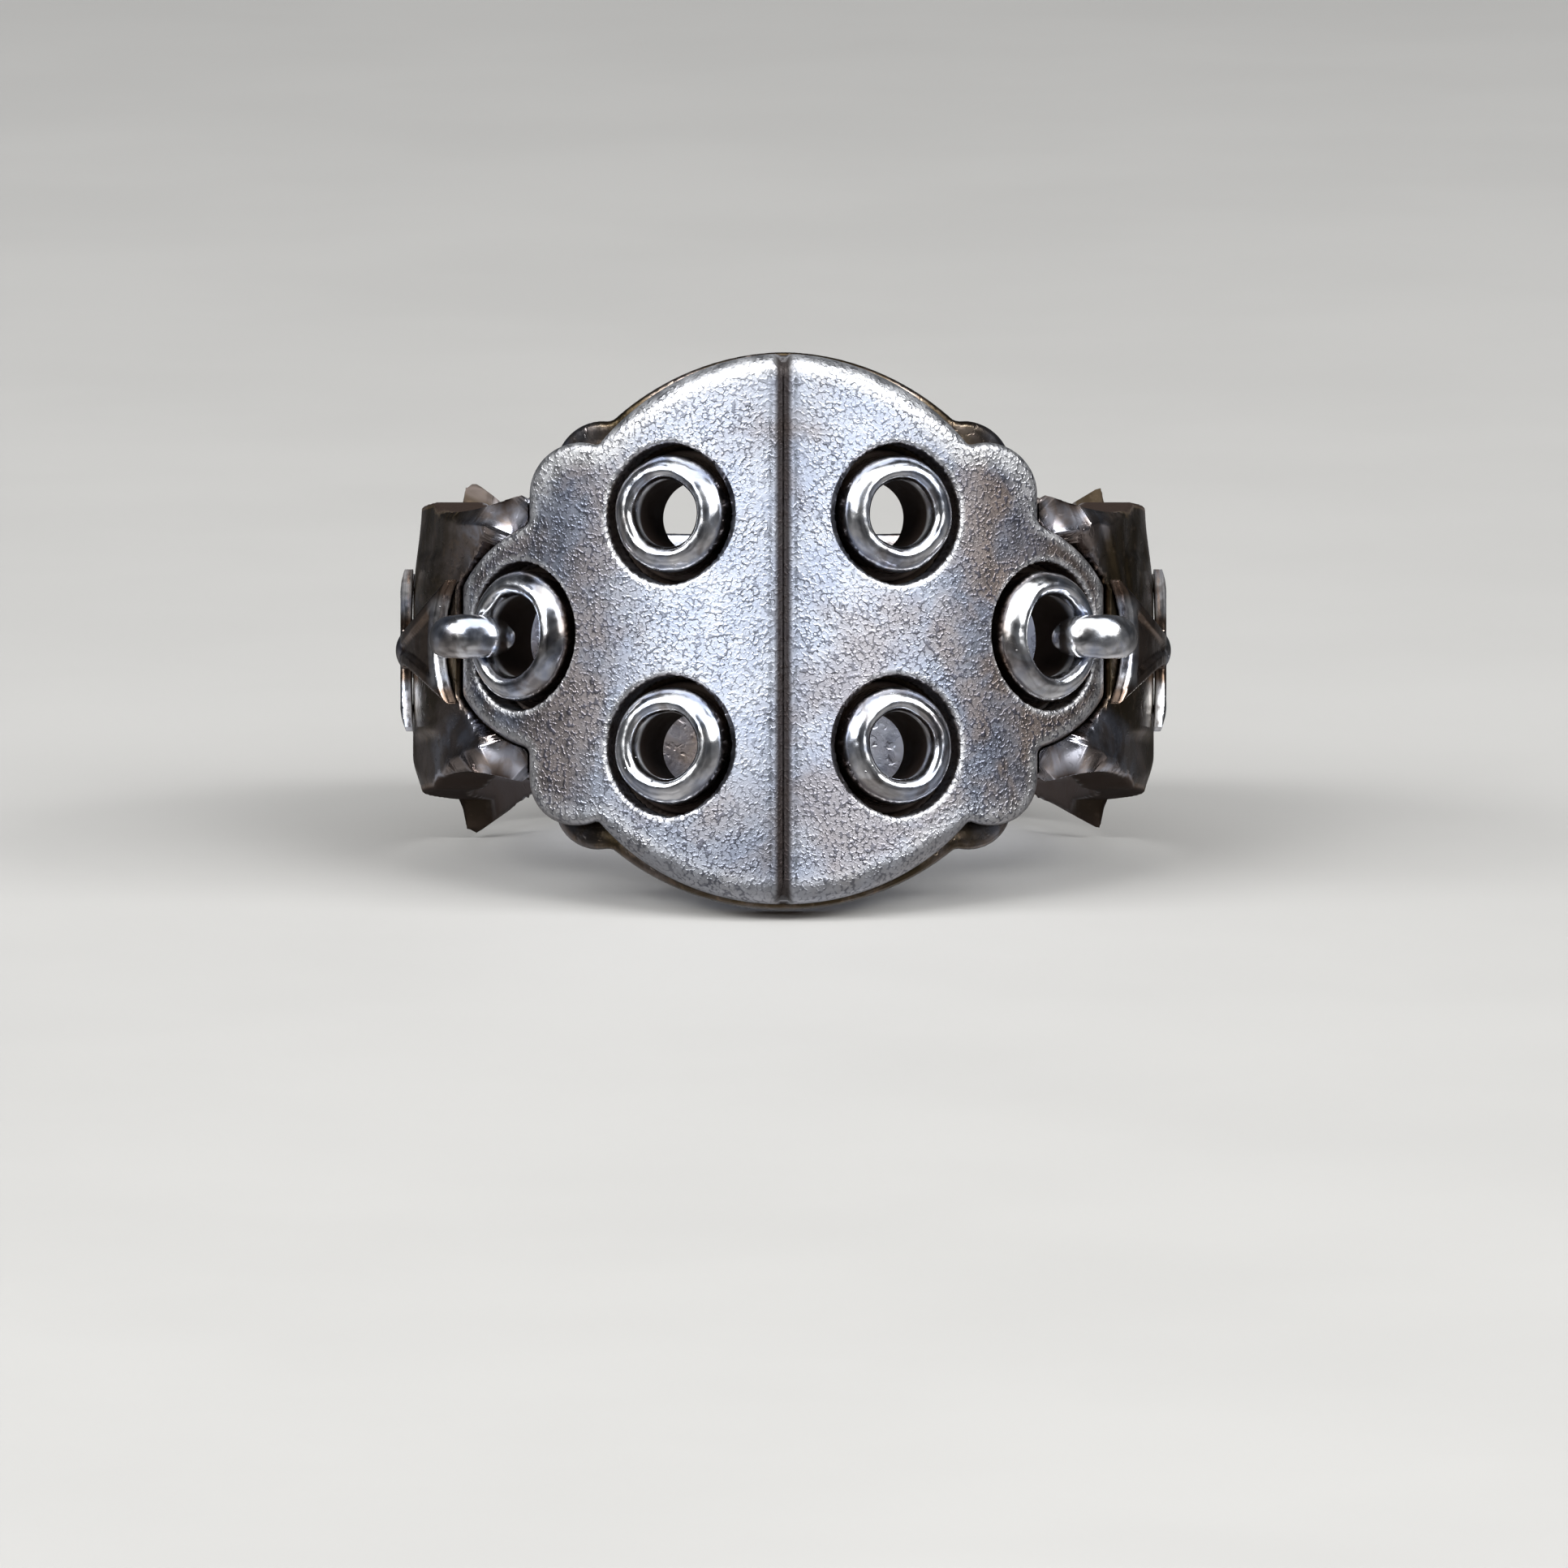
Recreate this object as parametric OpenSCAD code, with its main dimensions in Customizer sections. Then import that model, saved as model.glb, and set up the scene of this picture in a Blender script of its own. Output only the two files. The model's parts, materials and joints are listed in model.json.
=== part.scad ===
// Knuckle armor ring: a silver finger ring with a keeled cover plate on a scalloped base,
// six open eyelets, and a flared cross on each shoulder that a small link ties to its eyelet.
// The ring lies as it rests by itself: the finger hole points up and leans back a little.

/* [Finger band] */
// Inner diameter of the finger hole
finger_d = 20; // [17:0.5:22]
// Wall of the band at the back
band_wall = 1.1; // [0.8:0.1:1.6]
// Width of the band at the back
band_w = 8.8; // [7:0.1:9.6]
// Rounding of the outer rims at the back
rim_round = 0.4; // [0.1:0.1:0.5]

/* [Shoulders] */
// Wall of the shoulders where they are thickest
shoulder_wall = 1.9; // [1.5:0.1:2.4]
// Radius of the shoulders seen along the finger
shoulder_r = 8; // [7:0.5:9]
// How far the thickest place lies in front of the finger axis
shoulder_forward = 0.4; // [0:0.1:1]
// Width of the shoulders beside the crosses
shoulder_w = 9.2; // [8.8:0.1:10]
// Width of the front hollow between shoulder and plate
front_waist_w = 8.3; // [7.5:0.1:9]
// Radius of the front hollow
front_waist_r = 4.4; // [3.5:0.1:5.5]
// Distance of the front hollow from the finger axis
front_waist_at = 5.3; // [4.8:0.1:5.8]
// Width across the rear flare tips
flare_w = 11.1; // [10:0.1:12]
// Distance of the flare tips behind the finger axis
flare_at = 4; // [3.5:0.1:4.5]
// Length of the slope that leads up to a flare tip
flare_run = 1.4; // [1:0.1:2]
// Blunt end of a flare tip
flare_tip = 0.2; // [0.1:0.05:0.4]
// Width of the rear hollow behind the flare tips
rear_waist_w = 8.2; // [7.5:0.1:8.6]
// Radius of the rear hollow
rear_waist_r = 3.4; // [3:0.1:4]

/* [Base plate] */
// Height of the base plate along the finger
base_h = 17.6; // [16:0.1:19]
// Radius of its top and bottom edges
base_edge_r = 8.3; // [7.8:0.1:9]
// Radius of its four corner lobes
base_lobe_r = 1.45; // [1.2:0.05:1.7]
// Distance of the lobe centres from the middle, sideways
base_lobe_x = 5.8; // [5.4:0.1:6.2]
// Distance of the lobe centres from the middle, along the finger
base_lobe_y = 5.35; // [5:0.05:5.7]

/* [Cover plate] */
// Height of the cover plate along the finger
plate_h = 17.4; // [16:0.1:18.8]
// Thickness of the cover plate
plate_t = 1; // [0.8:0.05:1.2]
// Narrow seam between the cover plate and what it lies on
seam = 0.12; // [0.05:0.01:0.2]
// Height of the keel above the finger hole
keel_h = 2.8; // [2.6:0.1:3.4]
// Slope of the faces beside the keel, in degrees
keel_slope = 12; // [8:1:16]
// Radius of each bowed face
bow_r = 17; // [15:0.5:20]
// Radius of its top and bottom edges
plate_edge_r = 7.6; // [7.2:0.1:8.2]
// Radius of its four corner lobes
plate_lobe_r = 1.56; // [1.3:0.02:1.8]
// Distance of the lobe centres from the middle, sideways
plate_lobe_x = 6.5; // [6.2:0.1:6.9]
// Distance of the lobe centres from the middle, along the finger
plate_lobe_y = 4.5; // [4.2:0.1:4.8]
// Radius of the tongues round the side eyelets
tongue_r = 3.72; // [3.5:0.02:3.9]
// How far the middle of that radius lies on the keel's side of the side eyelets
tongue_inward = 1.5; // [1.3:0.1:1.7]
// Reach of the tongues past the middle of the side eyelets
tongue_outward = 1.8; // [1.7:0.1:2.2]
// Width of the groove along the keel
groove_w = 1.1; // [0.6:0.1:1.6]
// Depth of the groove
groove_depth = 0.55; // [0.3:0.05:0.7]

/* [Eyelets] */
// Distance of the four main eyelets from the keel
main_x = 3.61; // [3.4:0.01:3.8]
// Distance of the four main eyelets from the middle of the plate
main_y = 3.67; // [3.4:0.01:3.9]
// Distance of the side eyelets from the keel
side_x = 8.4; // [8.3:0.02:8.5]
// Holes in the cover plate for the main eyelets
main_hole_d = 4.5; // [4.3:0.05:4.7]
// Holes in the cover plate for the side eyelets
side_hole_d = 4.75; // [4.7:0.05:4.85]
// Opening of the main eyelets
main_open_d = 2.15; // [1.8:0.05:2.4]
// Opening of the side eyelets
side_open_d = 2.55; // [2.5:0.05:2.7]
// Thickness of the rolled edge of an eyelet
roll_d = 0.9; // [0.8:0.02:1]
// How far the rolled edge stands above the cover plate
eyelet_proud = 0.5; // [0.3:0.05:0.7]
// How far the flange of an eyelet stands out under its rolled edge
flange_lip = 0.12; // [0.05:0.01:0.15]
// Thickness of that flange
flange_t = 0.25; // [0.15:0.05:0.4]
// Wall of the tube that goes down through the base
tube_wall = 0.3; // [0.2:0.05:0.4]
// Depth of the flat seats cut in the base
seat_depth = 0.2; // [0.16:0.02:0.3]

/* [Links] */
// Thickness of a link
link_t = 0.6; // [0.5:0.02:0.64]
// Width of a link at its middle
link_w = 1.44; // [1:0.02:1.7]
// Radius of the middle line of its arch
link_arch_r = 1.06; // [1:0.02:1.2]
// Length of its pointed outline
link_len = 5.2; // [4.6:0.1:6]
// How far its inner leg reaches down into the eyelet
link_leg = 0.8; // [0.4:0.1:1.2]

/* [Crosses] */
// Thickness of a cross
cross_t = 0.36; // [0.24:0.02:0.5]
// Length of a cross round the finger
cross_len = 9.6; // [9:0.1:9.8]
// Length of a cross along the finger
cross_h = 5.2; // [4.4:0.1:6]
// Width of its arms at the middle
cross_neck = 1.1; // [0.8:0.1:1.4]
// Width of the ends of its long arms
long_end_w = 4; // [3:0.1:4.4]
// Width of the ends of its short arms
short_end_w = 2.6; // [2:0.1:3]
// Depth of the hollow in the end of each arm
cross_notch = 0.6; // [0.3:0.1:0.8]
// Diameter of the boss at its middle
boss_d = 1.7; // [1.2:0.1:2]
// How far the boss stands above the cross
boss_rise = 0.15; // [0.05:0.05:0.4]

/* [Fits] */
// Gap round a piece that lies in or on another
fit_gap = 0.05; // [0.03:0.01:0.08]
// Gap round the cover plate where the shoulders meet it
inset_gap = 0.15; // [0.08:0.01:0.25]

/* [Hidden] */
$fn = 96;
left = -1;
right = 1;
finger_r = finger_d / 2;
back_r = finger_r + band_wall;
rim_flat = band_w / 2 - rim_round;
// The middle of a shoulder's round outline
shoulder_x = finger_r + shoulder_wall - shoulder_r;
// The bowed faces are arcs about these two places beside the finger axis
keel_z = finger_r + keel_h;
bow_x = bow_r * sin(keel_slope);
bow_back = bow_r * cos(keel_slope) - keel_z;
under_r = bow_r - plate_t;
base_r = under_r - seam;
seat_r = base_r - seat_depth;
// The flange of an eyelet lies on its seat, and its rolled edge stands above the cover plate
flange_seat = seat_r + fit_gap / 2;
roll_up = bow_r + eyelet_proud - roll_d / 2;
main_angle = asin((main_x + bow_x) / bow_r);
side_angle = asin((side_x + bow_x) / bow_r);
// The base's lowest corner and the round rear rim both touch the floor, which sets the lean
lean_a = base_h / 2 - rim_flat;
lean_b = finger_r + back_r - rim_round;
lean = acos(rim_round / norm([lean_a, lean_b])) - atan2(lean_b, lean_a);
centre_up = base_h / 2 * cos(lean) - finger_r * sin(lean);
// The foremost edge is the lower end of a groove shoulder, the rearmost is the back rim
shoulder_edge_z = sqrt(pow(bow_r, 2) - pow(groove_w / 2 + bow_x, 2)) - bow_back;
shoulder_edge_y = plate_h / 2 - plate_edge_r + sqrt(pow(plate_edge_r, 2) - pow(groove_w / 2, 2));
front_reach = shoulder_edge_z * cos(lean) + shoulder_edge_y * sin(lean);
back_reach = (back_r - rim_round) * cos(lean) + rim_flat * sin(lean) + rim_round;
centre_back = (front_reach - back_reach) / 2;
// Lengths that only have to reach past the pieces they cut
past = 1;
beyond = bow_r;
flank_steps = 6;
end_steps = 3;

// Places its children, whose Z is the finger axis and whose front is -Y, as the ring rests
module resting() {
    translate([0, centre_back, centre_up]) rotate([-lean, 0, 0]) children();
}

// Mirrors its children, drawn for the right side, to the side that is asked for
module on_side(side) {
    mirror([side < 0 ? 1 : 0, 0, 0]) children();
}

// Stands its children on a bowed face: +Z leaves the face, X runs outward, Y along the finger
module on_bow(angle, along) {
    translate([-bow_x, bow_back, along]) rotate([90, 0, angle]) children();
}

// A flat outline seen from the front, pushed through from the finger axis forward
module from_front(depth) {
    rotate([90, 0, 0]) linear_extrude(depth) children();
}

// A flat outline seen from the side, with the front to the right, pushed right through
module from_side(width) {
    rotate([90, 0, -90]) translate([0, 0, -width / 2]) linear_extrude(width) children();
}

// Repeats a flat form drawn in one quarter in all four
module four_ways() {
    for (flip_x = [0, 1], flip_y = [0, 1]) mirror([flip_x, 0]) mirror([0, flip_y]) children();
}

// The keeled section, bounded by two arcs that meet in the keel
module keel_section(r) {
    intersection_for (side = [left, right]) translate([side * bow_x, bow_back]) circle(r, $fn = 180);
}

module keel_bar(r, height) {
    linear_extrude(height, center = true) keel_section(r);
}

module finger_circle() {
    circle(finger_r, $fn = 180);
}

// Outline of a plate: round ends, four lobes and a block between them
module scalloped(height, edge_r, lobe_r, lobe_x, lobe_y, grow = 0) {
    four_ways() {
        translate([0, height / 2 - edge_r]) circle(edge_r + grow);
        translate([lobe_x, lobe_y]) circle(lobe_r + grow);
        square([lobe_x + lobe_r + grow, lobe_y]);
    }
}

// Outline of the cover plate, with a tongue round each side eyelet
module plate_outline(grow = 0) {
    scalloped(plate_h, plate_edge_r, plate_lobe_r, plate_lobe_x, plate_lobe_y, grow);
    four_ways() intersection() {
        translate([side_x - tongue_inward, 0]) circle(tongue_r + grow);
        square([side_x + tongue_outward + grow, tongue_r + grow]);
    }
}

// Outline of the shoulders seen from the side, before the hollows are cut in it
module shoulder_outline() {
    half_w = shoulder_w / 2;
    flare = flare_w / 2;
    polygon([[2 * beyond, -half_w], [2 * beyond, half_w], [flare_run - flare_at, half_w],
             [-flare_at, flare], [-beyond, flare], [-beyond, -flare], [-flare_at, -flare],
             [flare_run - flare_at, -half_w]]);
}

// The hollows in front of and behind the shoulders, the rear ones starting at the flare tips
module shoulder_hollows() {
    flare_depth = (flare_w - rear_waist_w) / 2;
    rear_waist_at = flare_at + flare_tip + sqrt(flare_depth * (2 * rear_waist_r - flare_depth));
    for (end = [-1, 1]) {
        translate([front_waist_at, end * (front_waist_w / 2 + front_waist_r)]) circle(front_waist_r);
        translate([-rear_waist_at, end * (rear_waist_w / 2 + rear_waist_r)]) circle(rear_waist_r);
    }
}

module shoulder_disc(grow = 0) {
    translate([shoulder_x, -shoulder_forward]) circle(shoulder_r + grow, $fn = 180);
}

// The plain band, with round outer rims
module plain_band() {
    rotate_extrude($fn = 180) {
        translate([finger_r, -rim_flat]) square([band_wall, 2 * rim_flat]);
        translate([finger_r, -band_w / 2]) square([band_wall - rim_round, band_w]);
        for (end = [-1, 1]) translate([back_r - rim_round, end * rim_flat]) circle(rim_round);
    }
}

// A flat seat and a bore for each eyelet, cut along its axis
module eyelet_seat(angle, along, hole_d, open_d) {
    on_bow(angle, along) {
        translate([0, 0, seat_r]) cylinder(h = beyond, d = hole_d + 2 * fit_gap);
        translate([0, 0, seat_r - beyond / 4])
            cylinder(h = beyond / 2, d = open_d + 2 * tube_wall + 2 * fit_gap);
    }
}

module all_eyelet_seats() {
    for (side = [left, right]) on_side(side) {
        for (along = [-main_y, main_y]) eyelet_seat(main_angle, along, main_hole_d, main_open_d);
        eyelet_seat(side_angle, 0, side_hole_d, side_open_d);
    }
}

module band_and_shoulders() {
    difference() {
        intersection() {
            union() {
                plain_band();
                for (side = [left, right]) on_side(side)
                    linear_extrude(flare_w + past, center = true) difference() {
                        shoulder_disc();
                        finger_circle();
                    }
            }
            from_side(4 * finger_r) shoulder_outline();
        }
        from_side(4 * finger_r) shoulder_hollows();
    }
}

module base_plate() {
    intersection() {
        linear_extrude(base_h + past, center = true) difference() {
            keel_section(base_r);
            finger_circle();
        }
        from_front(2 * beyond)
            scalloped(base_h, base_edge_r, base_lobe_r, base_lobe_x, base_lobe_y);
    }
}

// The room in front of the base, with the cover plate's outline
module plate_pocket() {
    difference() {
        from_front(2 * beyond) plate_outline(inset_gap);
        keel_bar(base_r, base_h + 2 * past);
    }
}

module ring_band() {
    color("silver") resting() difference() {
        union() {
            base_plate();
            band_and_shoulders();
        }
        plate_pocket();
        all_eyelet_seats();
    }
}

// A wedge along the keel, as wide as the groove at the face
module groove() {
    half = groove_w / 2;
    rise = half * tan(keel_slope);
    linear_extrude(plate_h + past, center = true)
        polygon([[0, -keel_z + groove_depth], [-half, -keel_z + rise], [-half, -keel_z - past],
                 [half, -keel_z - past], [half, -keel_z + rise]]);
}

module armor_plate() {
    color("lightsteelblue") resting() difference() {
        intersection() {
            keel_bar(bow_r, plate_h + past);
            from_front(2 * beyond) plate_outline();
        }
        keel_bar(under_r, plate_h + 2 * past);
        groove();
        for (side = [left, right]) on_side(side) {
            for (along = [-main_y, main_y])
                on_bow(main_angle, along) cylinder(h = beyond + past, d = main_hole_d);
            on_bow(side_angle, 0) cylinder(h = beyond + past, d = side_hole_d);
        }
    }
}

// Section of the rolled edge of an eyelet and of the barrel that carries it
module roll_section(open_d, grow = 0) {
    translate([open_d / 2 - grow, flange_seat]) square([roll_d + 2 * grow, roll_up - flange_seat]);
    translate([(open_d + roll_d) / 2, roll_up]) circle(roll_d / 2 + grow, $fn = 36);
}

// An open eyelet: a tube through the base, a flange on its seat and a rolled edge on top
module eyelet(side, angle, along, open_d) {
    tube_len = beyond / 4;
    color("gainsboro") resting() difference() {
        on_side(side) on_bow(angle, along) rotate_extrude() {
            translate([open_d / 2, flange_seat - tube_len]) square([tube_wall, tube_len + flange_t]);
            translate([open_d / 2, flange_seat]) square([roll_d + flange_lip, flange_t]);
            roll_section(open_d);
        }
        linear_extrude(2 * beyond, center = true) finger_circle();
    }
}

// Section of a link, with round edges
module link_section() {
    intersection() {
        translate([link_arch_r, 0]) circle(link_w / 2);
        translate([link_arch_r - link_t / 2, -link_w / 2]) square([link_t, link_w]);
    }
}

// An arch over the rolled edge of the side eyelet: its short leg hangs in the eyelet,
// and its long leg, which is trimmed later, runs back past the tongue into the shoulder
module link_arch() {
    rotate([0, 0, side_angle]) {
        rotate_extrude(angle = 180 - side_angle) link_section();
        rotate([90, 0, 0]) linear_extrude(shoulder_r / 2) link_section();
    }
    rotate([90, 0, 0]) linear_extrude(link_leg) mirror([1, 0]) link_section();
}

// The link has a pointed outline and ends close above the front arm of the cross
module link(side) {
    arch_x = side_open_d / 2 + link_arch_r - link_t / 2 - fit_gap;
    point_r = (pow(link_len, 2) + pow(link_w, 2)) / (4 * link_w);
    color("white") resting() on_side(side) difference() {
        on_bow(side_angle, 0) intersection() {
            translate([arch_x, 0, roll_up]) rotate([90, 0, 0]) link_arch();
            intersection_for (end = [-1, 1]) translate([arch_x, end * (point_r - link_w / 2), 0])
                cylinder(h = 2 * beyond, r = point_r);
        }
        linear_extrude(band_w, center = true) shoulder_disc(2 * fit_gap + cross_t);
        on_bow(side_angle, 0) rotate_extrude() roll_section(side_open_d, fit_gap);
    }
}

// Turns a flat point about the middle
function turned(p, angle) = [p.x * cos(angle) - p.y * sin(angle), p.x * sin(angle) + p.y * cos(angle)];

// A point on the flank of a flared arm, at a share of its way out
function flank(share, reach, end_w) =
    [cross_neck / 2 + share * (reach - cross_neck / 2),
     cross_neck / 2 + pow(share, 2) * (end_w - cross_neck) / 2];

// A point on the hollow end of an arm, at a share of its half width
function hollow(share, reach, end_w) =
    [reach - cross_notch * (1 - pow(share, 2)), share * end_w / 2];

// One flared arm, out along its lower flank and back along its upper one
function arm_points(reach, end_w) = concat(
    [for (i = [0 : flank_steps - 1]) let (p = flank(i / flank_steps, reach, end_w)) [p.x, -p.y]],
    [for (i = [-end_steps : end_steps]) hollow(i / end_steps, reach, end_w)],
    [for (i = [flank_steps - 1 : -1 : 1]) flank(i / flank_steps, reach, end_w)]);

module cross_outline() {
    long_arm = arm_points(cross_len / 2, long_end_w);
    short_arm = arm_points(cross_h / 2, short_end_w);
    polygon([for (turn = [0 : 3]) for (p = turn % 2 == 0 ? long_arm : short_arm) turned(p, turn * 90)]);
}

module side_cross(side) {
    outer = shoulder_r + fit_gap + cross_t;
    boss_r = boss_d / 2;
    color("whitesmoke") resting() on_side(side) difference() {
        union() {
            intersection() {
                linear_extrude(cross_h + past, center = true) shoulder_disc(fit_gap + cross_t);
                translate([shoulder_r + shoulder_x, 0, 0]) from_side(2 * shoulder_r)
                    translate([shoulder_forward, 0]) cross_outline();
            }
            translate([shoulder_x + outer + boss_rise - boss_r, -shoulder_forward, 0]) sphere(boss_r);
        }
        linear_extrude(cross_h + 2 * past, center = true) shoulder_disc(fit_gap);
    }
}

ring_band();
armor_plate();
eyelet(left, main_angle, main_y, main_open_d);  // eyelet_upper_left
eyelet(right, main_angle, main_y, main_open_d);  // eyelet_upper_right
eyelet(left, main_angle, -main_y, main_open_d);  // eyelet_lower_left
eyelet(right, main_angle, -main_y, main_open_d);  // eyelet_lower_right
eyelet(left, side_angle, 0, side_open_d);  // eyelet_side_left
eyelet(right, side_angle, 0, side_open_d);  // eyelet_side_right
link(left);  // link_left
link(right);  // link_right
side_cross(left);  // side_cross_left
side_cross(right);  // side_cross_right
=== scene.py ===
"""The looks of the knuckle armor ring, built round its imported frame."""

import json
import math

import bpy
import numpy as np
from bpy.props import FloatProperty, FloatVectorProperty, PointerProperty
from mathutils import Matrix, Vector, noise


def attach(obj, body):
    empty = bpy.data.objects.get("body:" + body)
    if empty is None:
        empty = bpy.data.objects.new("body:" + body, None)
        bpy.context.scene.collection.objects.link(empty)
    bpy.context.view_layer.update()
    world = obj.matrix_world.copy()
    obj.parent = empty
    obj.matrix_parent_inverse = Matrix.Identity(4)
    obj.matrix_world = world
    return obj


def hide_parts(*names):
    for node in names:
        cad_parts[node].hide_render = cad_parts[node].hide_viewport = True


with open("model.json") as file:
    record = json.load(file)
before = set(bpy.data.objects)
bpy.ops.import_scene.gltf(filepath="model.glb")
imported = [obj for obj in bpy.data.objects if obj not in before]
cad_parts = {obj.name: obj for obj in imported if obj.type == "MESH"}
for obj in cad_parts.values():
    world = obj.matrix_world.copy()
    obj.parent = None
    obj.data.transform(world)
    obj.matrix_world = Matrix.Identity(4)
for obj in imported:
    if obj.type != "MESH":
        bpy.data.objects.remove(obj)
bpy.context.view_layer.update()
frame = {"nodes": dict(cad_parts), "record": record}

bl_info = {
    "name": "Knuckle Armor Ring",
    "version": (1, 0, 0),
    "blender": (4, 5, 0),
    "location": "3D View > Sidebar > Armor Ring",
    "description": "Builds the worn silver pieces of a knuckle armor ring and its stage",
    "category": "Add Mesh",
}

# Sizes in millimetres, in the ring's own frame: X to the right, -Y to the front, Z along the finger
MM = 0.001
SIDES = (-1, 1)
FINGER_HOLE = frame["record"]["mounts"][0]
FINGER_R = FINGER_HOLE["dims"]["r_mm"]
BACK_R = 11.1
BAND_W = 8.8
RIM_ROUND = 0.4
SHOULDER_R = 8.0
SHOULDER_X = 3.9
SHOULDER_FORWARD = 0.4
SHOULDER_W = 9.2
FLARE_W = 11.3
FLARE_AT = 3.95
FLARE_RUN = 0.2
# Place to the front, place along the finger and radius of the round hollows in the shoulder's rims
FRONT_HOLLOW = (5.15, 8.1, 3.95)
REAR_HOLLOW = (-7.3, 7.5, 3.4)
BASE = {"height": 17.6, "edge_r": 8.3, "lobe_r": 1.45, "lobe_x": 5.8, "lobe_z": 5.35}
PLATE = {"height": 17.4, "edge_r": 7.6, "lobe_r": 1.56, "lobe_x": 6.5, "lobe_z": 4.5}
TONGUE = {"x": 6.9, "r": 3.72, "reach": 10.2}
# The two faces beside the keel are arcs about places beside and behind the finger's axis
BOW_R = 17.0
KEEL_SLOPE = math.radians(12)
KEEL_H = 2.8
PLATE_T = 1.0
SEAM = 0.12
SEAT_DEPTH = 0.2
BOW_X = BOW_R * math.sin(KEEL_SLOPE)
BOW_BACK = BOW_R * math.cos(KEEL_SLOPE) - FINGER_R - KEEL_H
UNDER_R = BOW_R - PLATE_T
BASE_R = UNDER_R - SEAM
SEAT_R = BASE_R - SEAT_DEPTH
INSET_GAP = 0.07
EYELET_GAP = 0.05
TUBE_WALL = 0.3
FACET_FROM = 2.9
FACET_TURN = math.radians(74)
FACET_DEEP = 0.2
FACET_AT = (SHOULDER_X * math.sin(FACET_TURN) + SHOULDER_FORWARD * math.cos(FACET_TURN)
            + SHOULDER_R - FACET_DEEP)
GROOVE_DEEP = 0.3
GROOVE_HALF_W = 0.22
SIDE_EDGE_R = 0.2
END_EDGE_R = 0.62
HOLE_EDGE_R = 0.08
# Where the streaks on the upper right shoulder fan out from, in X and Z
STREAKS_FROM = (11.4, 0.4)
STREAK_DEEP = 0.03
MAIN_AT = {"angle": math.radians(24.85), "along": 3.67, "hole_r": 2.25, "hole_in": 0.16, "open_r": 1.075}
SIDE_AT = {"angle": math.radians(44.58), "along": 0.0, "hole_r": 2.375, "hole_in": 0.08, "open_r": 1.275}
EYELETS = {
    "eyelet_upper_left": (-1, MAIN_AT, 1),
    "eyelet_upper_right": (1, MAIN_AT, 1),
    "eyelet_lower_left": (-1, MAIN_AT, -1),
    "eyelet_lower_right": (1, MAIN_AT, -1),
    "eyelet_side_left": (-1, SIDE_AT, 1),
    "eyelet_side_right": (1, SIDE_AT, 1),
}
CROSS_T = 0.36
CROSS_GAP = 0.05
# Reach and end width of the long and the short arms
CROSS_ARMS = ((4.8, 4.0), (2.6, 2.6))
CROSS_WAIST = 0.55
CROSS_HOLLOW = 0.6
CROSS_STEPS = 8
CROSS_SUNK = 0.12
BOSS_R = 0.85
BOSS_IN = 0.29
CROSS_MESH = 0.055
EYELET_STEPS = 128
DENT_SEED = 1
# Middle line of the right link in X and Y, from the side eyelet over its rim to the shoulder
LINK_LINE = [(8.72, -7.1), (8.85, -7.42), (9.0, -7.76), (9.35, -8.0), (9.85, -8.05), (10.35, -7.92),
             (10.75, -7.5), (10.92, -7.0), (10.98, -6.4), (11.0, -5.9), (11.05, -5.3)]
# Half its width, and its height outward and inward, at these shares of its length
LINK_SHARES = [0, 0.02, 0.07, 0.14, 0.22, 0.4, 0.55, 0.72, 0.88, 0.97, 1]
LINK_WIDE = [0.0, 0.24, 0.42, 0.56, 0.66, 0.71, 0.66, 0.52, 0.42, 0.26, 0.0]
LINK_OUT = [0.0, 0.2, 0.34, 0.42, 0.44, 0.46, 0.42, 0.34, 0.26, 0.16, 0.0]
LINK_IN = [0.0, 0.12, 0.18, 0.22, 0.24, 0.26, 0.26, 0.26, 0.22, 0.14, 0.0]
LINK_RINGS = 72
LINK_STEPS = 56

# The stage in metres, and the sensor in millimetres
PHOTO_WIDTH = 0.05043
SENSOR = 36
AIM_BELOW = 0.004274
AIM_RIGHT = 0.00002
LAMP_AIM = (0, 0, 0.008)
LAMP_DISTANCE = 0.7


def ring_to_row():
    """The matrix from the ring's own frame in millimetres to the resting part in metres."""
    z = Vector(FINGER_HOLE["axis"]).normalized()
    x = Vector((1, 0, 0))
    turn = Matrix((x, z.cross(x), z)).transposed().to_4x4()
    return Matrix.Translation(FINGER_HOLE["pos_m"]) @ turn @ Matrix.Scale(MM, 4)


def soft_step(value, low, high):
    """Rises smoothly from 0 to 1 between two values."""
    share = np.clip((value - low) / (high - low), 0, 1)
    return share * share * (3 - 2 * share)


# Forms as fields: negative inside, zero on the surface, millimetres outside


def cut(a, b, r):
    """What lies in both forms, with an edge of radius r where they meet."""
    corner = np.hypot(np.maximum(a + r, 0), np.maximum(b + r, 0))
    return np.minimum(np.maximum(a, b), -r) + corner


def join(a, b, r):
    """Both forms together, with a fillet of radius r where they meet."""
    return -cut(-a, -b, r)


def scalloped(x, z, height, edge_r, lobe_r, lobe_x, lobe_z):
    """Outline of a plate with round ends and four lobes."""
    x, z = abs(x), abs(z)
    edge = np.hypot(x, z - (height / 2 - edge_r)) - edge_r
    lobe = np.hypot(x - lobe_x, z - lobe_z) - lobe_r
    block = np.maximum(x - lobe_x - lobe_r, z - lobe_z)
    return join(edge, np.minimum(lobe, block), 0.12)


def plate_outline(x, z):
    """Outline of the cover plate with its tongues."""
    tongue = np.hypot(abs(x) - TONGUE["x"], z) - TONGUE["r"]
    tongue = np.maximum(tongue, abs(x) - TONGUE["reach"])
    return join(scalloped(x, z, **PLATE), tongue, 0.2)


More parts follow.
